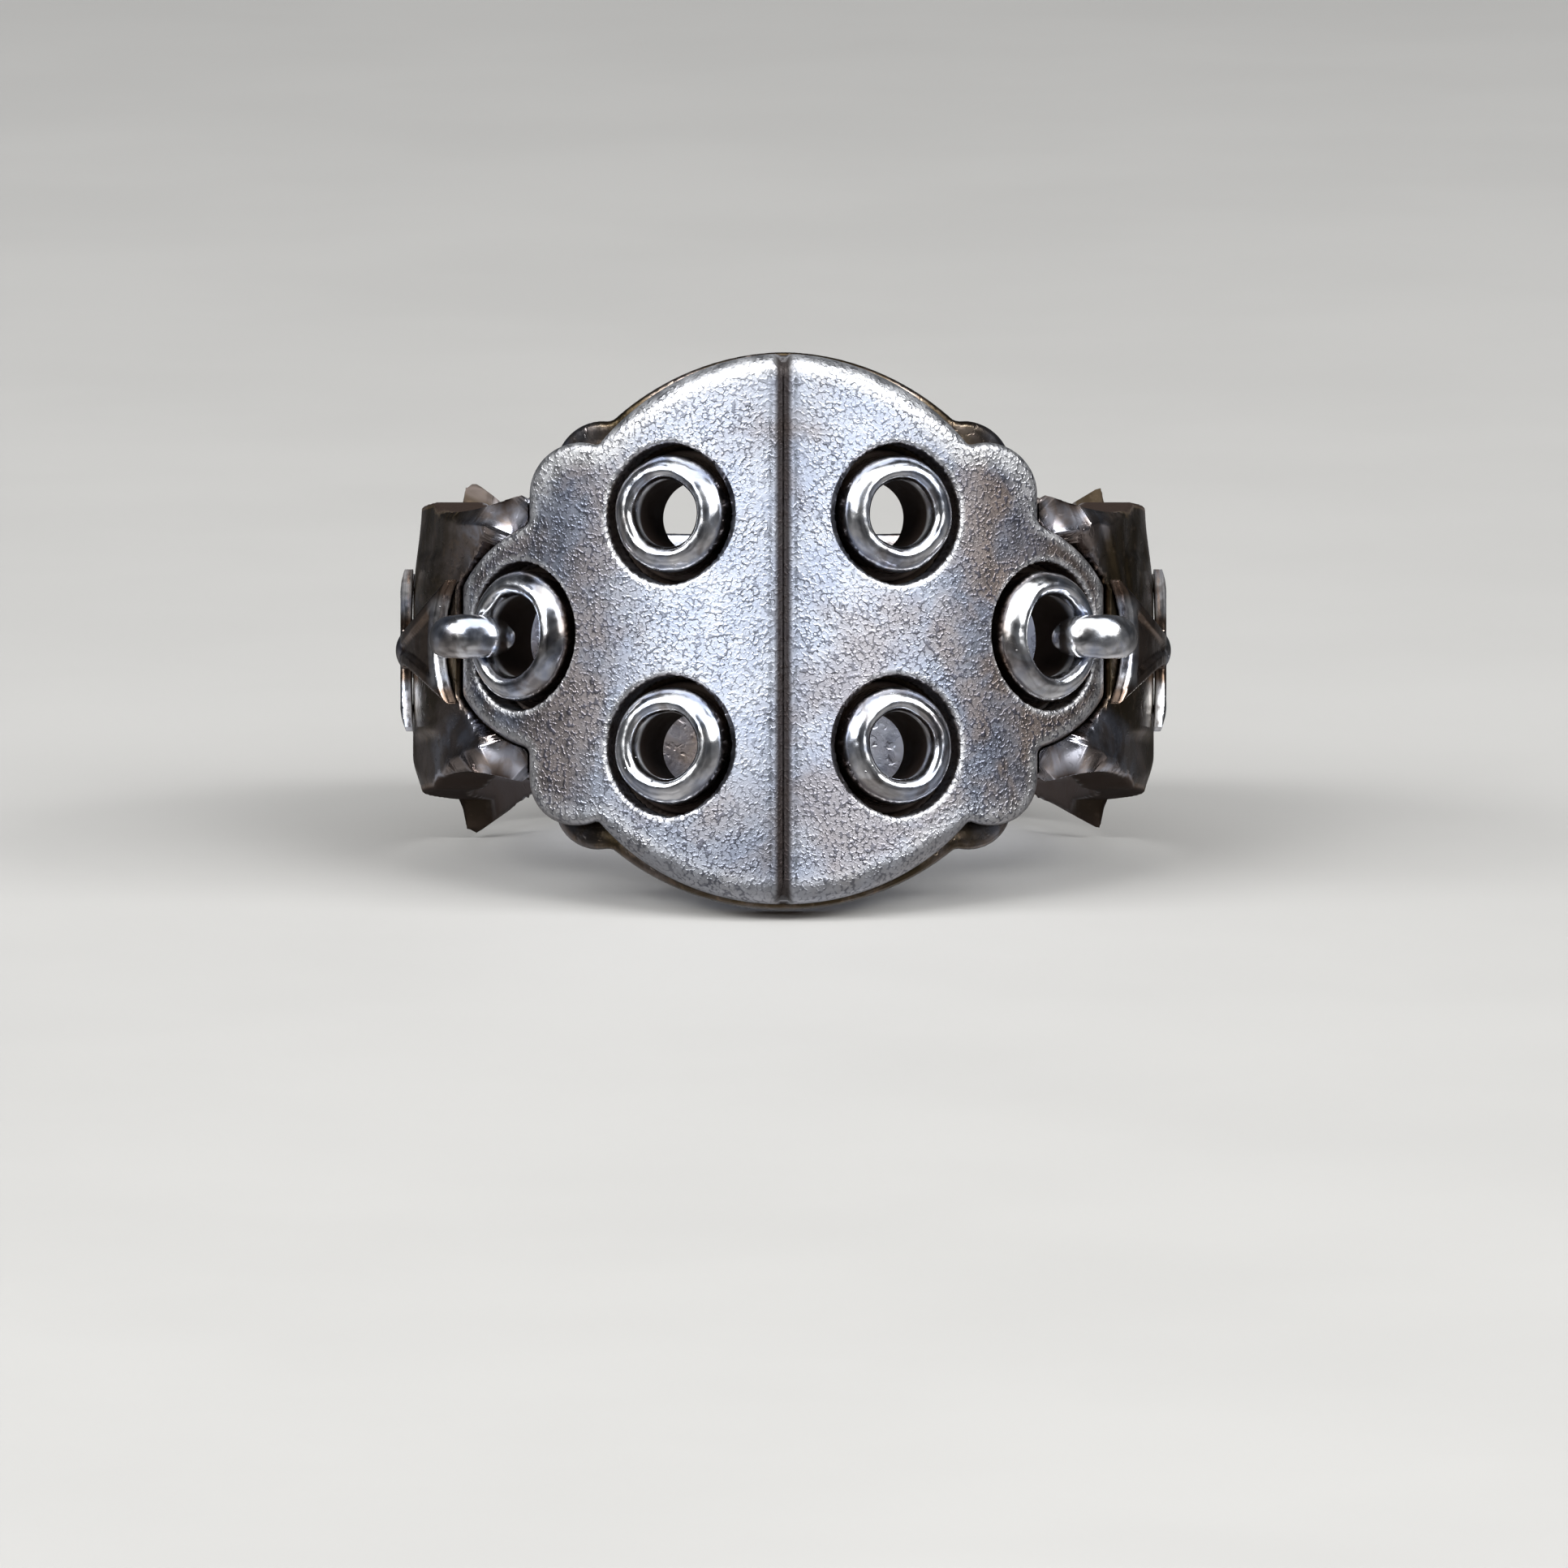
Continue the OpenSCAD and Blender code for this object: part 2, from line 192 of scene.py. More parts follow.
def bowed(p, radius, soft=0.05):
    """The keeled bar whose two bowed faces have this radius."""
    faces = [np.hypot(p[:, 0] - side * BOW_X, p[:, 1] - BOW_BACK) - radius for side in SIDES]
    return cut(faces[0], faces[1], soft)


def on_bow(p, side, angle, along):
    """Radial distance from an eyelet's axis, height over the bow's centre, and angle round it."""
    right = side * p[:, 0] + BOW_X
    front = p[:, 1] - BOW_BACK
    across = right * math.cos(angle) + front * math.sin(angle)
    height = right * math.sin(angle) - front * math.cos(angle)
    return np.hypot(across, p[:, 2] - along), height, np.arctan2(p[:, 2] - along, across)


def past_hole(p, side, at, along):
    """Distance outside the nicked edge of a hole, a little narrower toward the keel than a circle."""
    away, _, turn = on_bow(p, side, at["angle"], along)
    nicks = 0.014 * np.sin(57 * turn + along) + 0.01 * np.sin(34 * turn + 2 * along)
    narrower = at["hole_in"] * np.clip(1 - np.cos(turn), 0, 2) * abs(np.cos(turn))
    return away - at["hole_r"] + narrower - nicks


def eyelet_places():
    """Side, kind of place and place along the finger of each eyelet."""
    for side in SIDES:
        for up in (-1, 1):
            yield side, MAIN_AT, up * MAIN_AT["along"]
        yield side, SIDE_AT, 0.0


def plate_field(p):
    """The cover plate, its groove worn soft and its edges round."""
    x, z = p[:, 0], p[:, 2]
    deeper_end = 1 + 0.8 * soft_step(abs(z), 8.1, 8.6)
    groove = GROOVE_DEEP * np.exp(-((abs(x) / GROOVE_HALF_W) ** 2)) * deeper_end
    worn = SIDE_EDGE_R + (END_EDGE_R - SIDE_EDGE_R) * soft_step(abs(z), 5.6, 7.6)
    form = cut(bowed(p, BOW_R, 0.12) + groove, plate_outline(x, z), worn)
    form = cut(form, -bowed(p, UNDER_R), HOLE_EDGE_R)
    for side, at, along in eyelet_places():
        form = cut(form, -past_hole(p, side, at, along), HOLE_EDGE_R)
    return form


def streaks(x, z):
    """Shallow cuts that fan out from the right link over the upper shoulder."""
    from_x, from_z = STREAKS_FROM
    turn = np.arctan2(z - from_z, from_x - x)
    far = np.hypot(z - from_z, from_x - x)
    wave = np.sin(24 * turn + 1.7 * np.sin(1.3 * far)) + 0.5 * np.sin(41 * turn - far)
    near = soft_step(turn, 0.75, 0.95) * soft_step(1.7 - turn, 0, 0.2) * soft_step(far, 0.9, 1.6)
    return STREAK_DEEP * wave * near * soft_step(5.6 - far, 0, 0.8) * (x > 0)


def past_shoulder(x, front):
    """Distance outside the round side of a shoulder."""
    return np.hypot(abs(x) - SHOULDER_X, front - SHOULDER_FORWARD) - SHOULDER_R


def shoulder_lift(front, z):
    """How far a shoulder opens like a trumpet beside the plate, less its lean at its far corners."""
    opening = np.where(z < 0, 0.13, 0.09) * np.clip(abs(z) - 2.2, 0, 2.4) ** 2 * soft_step(front, 3.6, 6.8)
    forward = 0.06 * np.clip(front - 4.4, 0, 3.2) ** 2 * soft_step(abs(z), 1.8, 3.6)
    lean = 0.28 * soft_step(z, 1.5, 4.8) + 0.32 * soft_step(-z, 3.4, 4.8)
    return opening + forward - lean * (1 - soft_step(front, 2.5, 4.5))


def shoulder_half_width(x, front):
    """Half the width of a shoulder, which steps out to a slanted tip at its rear flare."""
    rise = np.clip((FLARE_RUN - FLARE_AT - front) / FLARE_RUN, 0, 1)
    tip = SHOULDER_W / 2 + rise * (FLARE_W - SHOULDER_W) / 2
    fall = np.where(x < 0, 0.75 * np.clip(9.9 - abs(x), 0, 2), 0.6 * np.clip(10.4 - x, 0, 2))
    return np.maximum(tip - rise * fall, SHOULDER_W / 2)


def band_field(p):
    """The band with its shoulders and the base plate, one casting."""
    x, front, z = p[:, 0], -p[:, 1], p[:, 2]
    out = np.hypot(x, front)
    plain = cut(out - BACK_R, abs(z) - BAND_W / 2, RIM_ROUND)
    disc = past_shoulder(x, front) - shoulder_lift(front, z)
    # Flat facets toward the rims of the shoulders, and none in their middle
    facet = abs(x) * math.sin(FACET_TURN) + front * math.cos(FACET_TURN) - FACET_AT
    disc = np.maximum(disc, facet - soft_step(FACET_FROM - abs(z), 0, 0.6))
    disc = disc + streaks(x, z) * (front > 0)
    form = cut(np.minimum(disc, plain), abs(z) - shoulder_half_width(x, front), 0.1)
    for at, up, r in (FRONT_HOLLOW, REAR_HOLLOW):
        form = cut(form, r - np.hypot(front - at, abs(z) - up), 0.16)
    base = cut(bowed(p, BASE_R), scalloped(x, z, **BASE), 0.18)
    base = np.maximum(base, p[:, 1])
    form = join(form, base, 0.1)
    # Room for the cover plate, for the seats of the eyelets and for their tubes
    pocket = np.maximum(plate_outline(x, z) - INSET_GAP, -bowed(p, BASE_R))
    form = cut(form, -np.maximum(pocket, p[:, 1]), 0.06)
    for side, at, along in eyelet_places():
        across, height, _ = on_bow(p, side, at["angle"], along)
        seat = np.maximum(across - at["hole_r"] - EYELET_GAP, SEAT_R - height)
        bore = np.maximum(across - at["open_r"] - TUBE_WALL - EYELET_GAP, p[:, 1])
        form = cut(form, -np.minimum(seat, bore), 0.03)
    return cut(form, FINGER_R - out, 0.16)


def cross_outline():
    """Corners of the flared cross, out along each arm and back."""
    corners = []
    for turn, (reach, end_w) in enumerate(CROSS_ARMS * 2):
        shares = [i / CROSS_STEPS for i in range(CROSS_STEPS + 1)]
        flank = [(CROSS_WAIST + t * (reach - CROSS_WAIST), CROSS_WAIST + t * t * (end_w / 2 - CROSS_WAIST))
                 for t in shares]
        across = [i / 4 for i in range(-3, 4)]
        end = [(reach - CROSS_HOLLOW * (1 - t * t), t * end_w / 2) for t in across]
        arm = [(a, -b) for a, b in flank] + end + flank[:0:-1]
        c, s = math.cos(turn * math.pi / 2), math.sin(turn * math.pi / 2)
        corners += [(a * c - b * s, a * s + b * c) for a, b in arm]
    return np.array(corners)


CROSS_OUTLINE = cross_outline()


def flat_distance(u, v, corners):
    """Distance from flat points to a closed outline, negative inside it."""
    nearest = np.full(len(u), np.inf)
    inside = np.zeros(len(u), bool)
    for (ax, ay), (bx, by) in zip(corners, np.roll(corners, -1, 0)):
        dx, dy = bx - ax, by - ay
        share = np.clip(((u - ax) * dx + (v - ay) * dy) / (dx * dx + dy * dy), 0, 1)
        nearest = np.minimum(nearest, np.hypot(u - ax - share * dx, v - ay - share * dy))
        inside ^= ((ay > v) != (by > v)) & (u < dx * (v - ay) / (dy if dy else 1e-12) + ax)
    return np.where(inside, -nearest, nearest)


def cross_field(p):
    """A flared cross, bent round the shoulder, with a raised rim and a domed boss."""
    front, z = -p[:, 1] - SHOULDER_FORWARD, p[:, 2]
    up = past_shoulder(p[:, 0], -p[:, 1]) - CROSS_GAP
    edge = flat_distance(front, z, CROSS_OUTLINE)
    sunk = CROSS_SUNK * soft_step(-edge, 0.34, 0.5)
    form = cut(up - CROSS_T + sunk, edge, 0.13)
    boss_x = SHOULDER_X + SHOULDER_R - BOSS_IN
    boss = np.sqrt((abs(p[:, 0]) - boss_x) ** 2 + front**2 + z**2) - BOSS_R
    return cut(join(form, boss, 0.06), -up, 0.04)


def settled(points, field, rounds=7):
    """Moves points along the field's slope until they lie on its surface."""
    step = 1e-4
    longest = 0.12
    for _ in range(rounds):
        value = field(points)
        slope = np.stack([(field(points + axis * step) - value) / step for axis in np.eye(3)], 1)
        square = np.maximum((slope**2).sum(1), 0.05)
        move = -(value / square)[:, None] * slope
        length = np.linalg.norm(move, axis=1, keepdims=True)
        points = points + move * np.minimum(1, longest / np.maximum(length, 1e-9))
    return points


def remeshed(node, voxel):
    """A copy of a CAD node's solid as an even fine mesh, in millimetres in the ring's frame."""
    mesh = frame["nodes"][node].data.copy()
    mesh.transform(ring_to_row().inverted())
    maker = bpy.data.objects.new("maker", mesh)
    bpy.context.scene.collection.objects.link(maker)
    modifier = maker.modifiers.new("Remesh", "REMESH")
    modifier.mode = "VOXEL"
    modifier.voxel_size = voxel
    made = maker.evaluated_get(bpy.context.evaluated_depsgraph_get()).to_mesh()
    points = np.zeros(len(made.vertices) * 3)
    made.vertices.foreach_get("co", points)
    faces = [tuple(f.vertices) for f in made.polygons]
    bpy.data.objects.remove(maker)
    bpy.data.meshes.remove(mesh)
    return points.reshape(-1, 3), faces


def add_piece(name, points, faces, material, values=None):
    """Links a smooth mesh piece that stands for the CAD node of the same name."""
    mesh = bpy.data.meshes.new(name)
    mesh.from_pydata(points.tolist(), [], faces)
    for key, numbers in (values or {}).items():
        layer = mesh.attributes.new(key, "FLOAT", "POINT")
        layer.data.foreach_set("value", np.asarray(numbers, np.float32))
    mesh.transform(ring_to_row())
    mesh.shade_smooth()
    mesh.materials.append(material)
    piece = bpy.data.objects.new(f"worn_{name}", mesh)
    bpy.context.scene.collection.objects.link(piece)
    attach(piece, "root")
    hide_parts(name)


# Materials


SILVER_SPECULAR = 0.12


class Sketch:
    """Adds nodes to a material and links them."""

    def __init__(self, name):
        self.material = bpy.data.materials.new(name)
        self.material.use_nodes = True
        self.tree = self.material.node_tree
        self.shader = self.tree.nodes["Principled BSDF"]

    def add(self, kind, settings=None, **sockets):
        """Adds a node. A socket is named by its words, or by _ and its number."""
        node = self.tree.nodes.new(kind)
        for key, value in (settings or {}).items():
            setattr(node, key, value)
        for key, value in sockets.items():
            socket = node.inputs[int(key[1:]) if key[1:].isdigit() else key.replace("_", " ")]
            self.feed(socket, value)
        return node

    def feed(self, socket, value):
        if isinstance(value, bpy.types.NodeSocket):
            self.tree.links.new(value, socket)
        else:
            socket.default_value = value

    def millimetres(self):
        place = self.add("ShaderNodeTexCoord").outputs["Object"]
        return self.scaled(place, 1 / MM)

    def scaled(self, vector, scale):
        made = self.add("ShaderNodeVectorMath", {"operation": "SCALE"}, Vector=vector, Scale=scale)
        return made.outputs[0]

    def cells(self, place, scale):
        return self.add("ShaderNodeTexVoronoi", Vector=place, Scale=scale).outputs["Distance"]

    def noise(self, place, scale, detail=2.0, distortion=0.0, rough=0.5):
        made = self.add("ShaderNodeTexNoise", Vector=place, Scale=scale, Detail=detail,
                        Distortion=distortion, Roughness=rough)
        return made.outputs[0]

    def math(self, operation, a, b=0.5, clamp=False):
        settings = {"operation": operation, "use_clamp": clamp}
        return self.add("ShaderNodeMath", settings, _0=a, _1=b).outputs[0]

    def spread(self, value, low, high, to_low=0.0, to_high=1.0):
        settings = {"interpolation_type": "SMOOTHSTEP"}
        made = self.add("ShaderNodeMapRange", settings, Value=value, From_Min=low, From_Max=high,
                        To_Min=to_low, To_Max=to_high)
        return made.outputs[0]

    def mix(self, share, a, b):
        made = self.add("ShaderNodeMix", {"data_type": "RGBA"}, _0=share, _6=a, _7=b)
        return made.outputs[2]

    def attribute(self, name):
        return self.add("ShaderNodeAttribute", {"attribute_name": name}).outputs["Fac"]

    def bump(self, height, distance, strength=1.0, normal=None):
        made = self.add("ShaderNodeBump", Height=height, Distance=distance, Strength=strength)
        if normal is not None:
            self.feed(made.inputs["Normal"], normal)
        return made.outputs[0]

    def finish(self, **sockets):
        for key, value in sockets.items():
            self.feed(self.shader.inputs[key.replace("_", " ")], value)
        return self.material


def color(rgb):
    return (*rgb, 1.0)


def pitted_silver(finish):
    """Blue-white silver, eaten by short dark pits, with brown-grey tarnish in patches, painted shade in the
    groove, below the edges and toward the sides, and a partly painted highlight along the edges.
    """
    s = Sketch("pitted_silver")
    place = s.millimetres()
    # Short lines, specks and round dots, crowded in places
    line = s.math("ABSOLUTE", s.math("SUBTRACT", s.noise(place, 5.5, 1.0, 0.3), 0.5))
    where = s.spread(s.noise(place, 4.0, 1.0), 0.5, 0.64)
    worm = s.math("MULTIPLY", s.spread(line, 0.0, 0.025, 0.8, 0.0), where)
    shake = s.add("ShaderNodeTexNoise", Vector=place, Scale=6.0, Detail=1.0).outputs["Color"]
    shaken = s.add("ShaderNodeVectorMath", {"operation": "ADD"}, _0=place, _1=s.scaled(shake, 0.1))
    speck = s.spread(s.cells(shaken.outputs[0], 8.0), 0.5, 0.8, 0.0, 0.9)
    where = s.spread(s.noise(place, 1.6, 2.0), 0.58, 0.66)
    dots = s.math("MULTIPLY", s.spread(s.cells(place, 4.4), 0.12, 0.3, 0.9, 0.0), where)
    crowd = s.spread(s.noise(place, 0.45, 3.0), 0.36, 0.62, 0.5, 1.0)
    crowd = s.math("ADD", crowd, s.math("MULTIPLY", s.attribute("dull_and_side_shade"), 0.35))
    pits = s.math("MULTIPLY", s.math("MAXIMUM", s.math("MAXIMUM", worm, speck), dots), crowd)
    patch = s.spread(s.noise(place, 0.22, 4.0, 0.3, 0.6), 0.47, 0.64)
    cool = s.spread(s.noise(place, 0.8, 3.0), 0.35, 0.7)
    tone = s.mix(cool, color(finish.silver), color(finish.silver_cool))
    blotch = s.spread(s.noise(place, 0.38, 3.0, 0.8), 0.42, 0.58)
    blotch = s.math("ADD", s.math("SUBTRACT", blotch, 0.62), s.attribute("warm"), True)
    worn = s.mix(blotch, color(finish.dull_and_side_shade), color(finish.brown))
    # Greyer, browner silver toward the sides: tarnish and painted shade
    tone = s.mix(s.math("MULTIPLY", s.attribute("dull_and_side_shade"), 0.88), tone, worn)
    tone = s.mix(s.math("MULTIPLY", patch, 0.6), tone, color(finish.tarnish))
    # Bright edges of the plate: polished wear, and partly a painted highlight
    tone = s.mix(s.math("MULTIPLY", s.attribute("edge"), 0.8), tone, color(finish.bright))
    tone = s.mix(s.math("MULTIPLY", pits, 0.62), tone, color(finish.pit))
    # Painted shade in the groove and on the plate's edge below its face
    dark = s.math("MAXIMUM", s.attribute("groove"), s.attribute("under"))
    tone = s.mix(s.math("MULTIPLY", dark, 0.95), tone, color(finish.painted_shade_brown))
    grain = s.noise(place, 9.0, 2.0)
    normal = s.bump(pits, 0.00003, 0.45, s.bump(grain, 0.00002, 0.35))
    rough = s.spread(s.noise(place, 1.7, 3.0), 0.3, 0.7, 0.34, 0.52)
    metal = s.math("SUBTRACT", 1.0, s.math("MULTIPLY", dark, 0.5))
    return s.finish(Base_Color=tone, Metallic=metal, Roughness=rough, Normal=normal,
                    Specular_IOR_Level=SILVER_SPECULAR)


def polished_silver(finish):
    """Bright worn silver, brown where polishing doesn't reach, with painted shade in the tubes, at the feet
    and where parts meet.
    """
    s = Sketch("polished_silver")
    place = s.millimetres()
    smear = s.noise(place, 0.9, 3.0, 0.5)
    tone = s.mix(s.spread(smear, 0.4, 0.7), color(finish.bright), color(finish.silver_cool))
    stain = s.spread(s.noise(place, 0.6, 3.0, 1.2), 0.5, 0.66, 0.0, 0.55)
    tone = s.mix(stain, tone, color(finish.bronze))
    painted_shade = s.attribute("painted_shade")
    tone = s.mix(s.attribute("brown"), tone, color(finish.bronze))
    # Painted shade in the tubes, at the feet and where parts meet
    tone = s.mix(painted_shade, tone, color(finish.painted_shade_brown))
    pits = s.spread(s.cells(place, 2.1), 0.03, 0.09, 1.0, 0.0)
    pits = s.math("MULTIPLY", pits, s.spread(s.noise(place, 0.8, 1.0), 0.5, 0.6))
    tone = s.mix(pits, tone, color(finish.pit))
    rough = s.spread(s.noise(place, 2.2, 3.0), 0.3, 0.75, 0.15, 0.29)
    rough = s.math("ADD", rough, s.math("MULTIPLY", painted_shade, 0.65))
    dent = s.noise(place, 1.1, 2.0)
    normal = s.bump(pits, 0.00004, 0.8, s.bump(dent, 0.0001, 0.7))
    metal = s.math("SUBTRACT", 1.0, painted_shade)
    return s.finish(Base_Color=tone, Metallic=metal, Roughness=rough, Normal=normal,
                    Specular_IOR_Level=SILVER_SPECULAR)


def cast_silver(finish):
    """Smoother cast silver under olive-brown tarnish, bright along its edges, with painted shade in its
    seats, hollows and rims and a partly painted highlight beside the plate.
    """
    s = Sketch("cast_silver")
    place = s.millimetres()
    wide = s.noise(place, 0.35, 4.0, 0.6, 0.6)
    tone = s.mix(s.spread(wide, 0.3, 0.55), color(finish.tarnish), color(finish.olive))
    speck = s.spread(s.noise(place, 3.0, 3.0), 0.55, 0.7)
    tone = s.mix(s.math("MULTIPLY", speck, 0.4), tone, color(finish.tan))
    mottle = s.spread(s.noise(place, 1.1, 3.0, 0.5), 0.36, 0.6)
    mottle = s.mix(mottle, s.mix(0.3, color(finish.silver_cool), color(finish.tan)), color(finish.tarnish))
    # Cleaner silver beside the plate, partly a painted highlight
    tone = s.mix(s.attribute("clean_and_highlight"), tone, mottle)
    stain = s.spread(s.noise(place, 0.25, 4.0, 0.4, 0.65), 0.35, 0.75, 0.0, 0.85)
    inside = s.mix(stain, color(finish.silver), color(finish.tan))
    tone = s.mix(s.attribute("inside"), tone, inside)
    tone = s.mix(s.attribute("edge"), tone, color(finish.bright))
    # Painted shade in the seats, in the hollows and on the flats of the rims, on the rear flares and inside
    # the lower rim
    painted_band_shade = s.attribute("painted_band_shade")
    tone = s.mix(painted_band_shade, tone, color(finish.painted_shade_brown))
    rough = s.spread(s.noise(place, 1.4, 3.0), 0.3, 0.7, 0.24, 0.36)
    rough = s.math("SUBTRACT", rough, s.math("MULTIPLY", s.attribute("clean_and_highlight"), 0.08))
    rough = s.math("ADD", rough, s.math("MULTIPLY", painted_band_shade, 0.6))
    metal = s.math("SUBTRACT", 1.0, painted_band_shade)
    pits = s.spread(s.noise(place, 2.7, 2.0, 0.8), 0.6, 0.7)
    grain = s.bump(s.noise(place, 7.0, 3.0), 0.00002, 0.25)
    normal = s.bump(s.math("SUBTRACT", 1.0, pits), 0.00003, 0.25, grain)
    return s.finish(Base_Color=tone, Metallic=metal, Roughness=rough, Normal=normal,
                    Specular_IOR_Level=SILVER_SPECULAR)


def floor_paper(stage):
    """Pale matt paper with a faint mottle."""
    s = Sketch("pale_paper")
    place = s.millimetres()
    tone = s.mix(s.spread(s.noise(place, 0.05, 3.0), 0.3, 0.7), color(stage.floor_tone),
                 color([v * 0.96 for v in stage.floor_tone]))
    normal = s.bump(s.noise(place, 3.0, 3.0), 0.00002, 0.3)
    return s.finish(Base_Color=tone, Roughness=0.7, Normal=normal)


# Settings


def tone_property(name, description, default):
    return FloatVectorProperty(name=name, description=description, default=default, size=3,
                               min=0, max=1, subtype="COLOR")


class RingFinish(bpy.types.PropertyGroup):
    silver: tone_property("Silver", "Plain silver of the cover plate", (0.67, 0.72, 0.83))
    silver_cool: tone_property("Cool silver", "Bluish silver between the worn places", (0.55, 0.61, 0.75))
    # Also the partly painted highlight along the cover plate's edges
    bright: tone_property("Bright silver", "Polished edges, eyelets and links", (0.86, 0.87, 0.89))
    # Also the colour of the painted shade toward the sides of the cover plate
    dull_and_side_shade: tone_property("Dull silver", "Greyer silver on lobes and tongues", (0.15, 0.165, 0.21))
    brown: tone_property("Brown silver", "Warm brown stain on lobes and tongues", (0.18, 0.128, 0.09))
    tarnish: tone_property("Tarnish", "Brown-grey patches on the silver", (0.32, 0.27, 0.25))
    olive: tone_property("Olive tarnish", "Dark tarnish on the outer shoulders", (0.1, 0.074, 0.042))
    tan: tone_property("Tan tarnish", "Golden brown inside the band", (0.36, 0.26, 0.18))
    bronze: tone_property("Bronze tarnish", "Brown on flanks and in the crosses", (0.16, 0.105, 0.07))
    # The colour of the painted shade in grooves, seats, tubes, hollows and where parts meet
    painted_shade_brown: tone_property("Oxide", "Dark brown in the recesses", (0.03, 0.02, 0.016))
    pit: tone_property("Pits", "Bottoms of the pits", (0.08, 0.085, 0.12))


class RingForms(bpy.types.PropertyGroup):
    plate_mesh: FloatProperty(name="Plate mesh", description="Edge length of the cover plate's mesh",
                              default=0.0001, min=0.00005, unit="LENGTH")
    band_mesh: FloatProperty(name="Band mesh", description="Edge length of the band's mesh",
                             default=0.000145, min=0.00005, unit="LENGTH")
    dent: FloatProperty(name="Dents", description="Depth of the shallow dents on the eyelets and links",
                        default=0.000016, min=0, unit="LENGTH")


class RingStage(bpy.types.PropertyGroup):
    floor_tone: tone_property("Floor", "Colour of the paper floor", (0.52, 0.515, 0.5))
    floor_width: FloatProperty(name="Floor width", description="Width of the paper floor",
                               default=3.0, min=0.2, unit="LENGTH")
    camera_height: FloatProperty(name="Camera elevation", description="Angle of the camera above the floor",
                                 default=math.radians(9.01), unit="ROTATION")
    camera_distance: FloatProperty(name="Camera distance", default=0.65, min=0.1, unit="LENGTH",
                                   description="Distance from the ring to the camera")


# Operators


def plate_tones(points):
    """Where the cover plate gets painted shade in its groove and below its edge, a partly painted highlight
    along its edges, greyer silver with painted shade toward the sides, and warm brown.
    """
    x, z = points[:, 0], points[:, 2]
    face = bowed(points, BOW_R, 0.3)
    outline = plate_outline(x, z)
    hole = np.full(len(points), np.inf)
    for side, at, along in eyelet_places():
        hole = np.minimum(hole, past_hole(points, side, at, along))
    at_face = 1 - soft_step(-face, 0.02, 0.2)
    # Painted shade along the groove
    groove = (1 - soft_step(abs(x), 0.14, 0.42)) * (1 - soft_step(-face, 0.55, 0.7))
    # Greyer tarnish and painted shade toward both sides, less toward the lower end and least toward the
    # upper end
    dull_and_side_shade = soft_step(abs(x) + 0.5 * (x > 0), 3.0, 7.5)
    dull_and_side_shade = np.maximum(dull_and_side_shade, soft_step(-z, 2.0, 7.5) * np.where(x < 0, 0.75, 0.35))
    dull_and_side_shade = np.maximum(dull_and_side_shade, soft_step(z, 4.0, 8.0) * 0.2)
    # Bright along the outline and round the holes, and wider at the round ends: polished wear, and partly a
    # painted highlight
    edge = (1 - soft_step(-outline, 0.05, 0.4)) * at_face
    edge = np.maximum(edge, (1 - soft_step(hole, 0.05, 0.26)) * at_face)
    ends = np.maximum(soft_step(z, 3.5, 5.5), 0.6 * soft_step(-z, 4.5, 6.5))
    edge = np.maximum(edge, (1 - soft_step(-outline, 0.35, 1.0)) * ends * (-face < 0.8))
    # Browner to the right, and a little at the left tip
    warm = 0.5 * soft_step(x, -9.0, 9.0) + 0.8 * soft_step(x, 5.5, 9.0)
    warm = warm + 0.3 * soft_step(-x, 7.5, 9.5)
    # Painted shade on the plate's edge below its face
    under = soft_step(-face, 0.5, 0.85)
    return {"groove": groove, "edge": edge, "under": under, "dull_and_side_shade": dull_and_side_shade, "warm": warm}


class MakeArmorPlate(bpy.types.Operator):
    """Makes the keeled cover plate with its groove, lobes, tongues and round holes"""

    bl_idname = "armor_ring.make_armor_plate"
    bl_label = "Armor Plate"

    def execute(self, context):
        forms = context.scene.armor_ring_forms
        points, faces = remeshed("armor_plate", forms.plate_mesh / MM)
        points = settled(points, plate_field)
        material = pitted_silver(context.scene.armor_ring_finish)
        add_piece("armor_plate", points, faces, material, plate_tones(points))
        return {"FINISHED"}


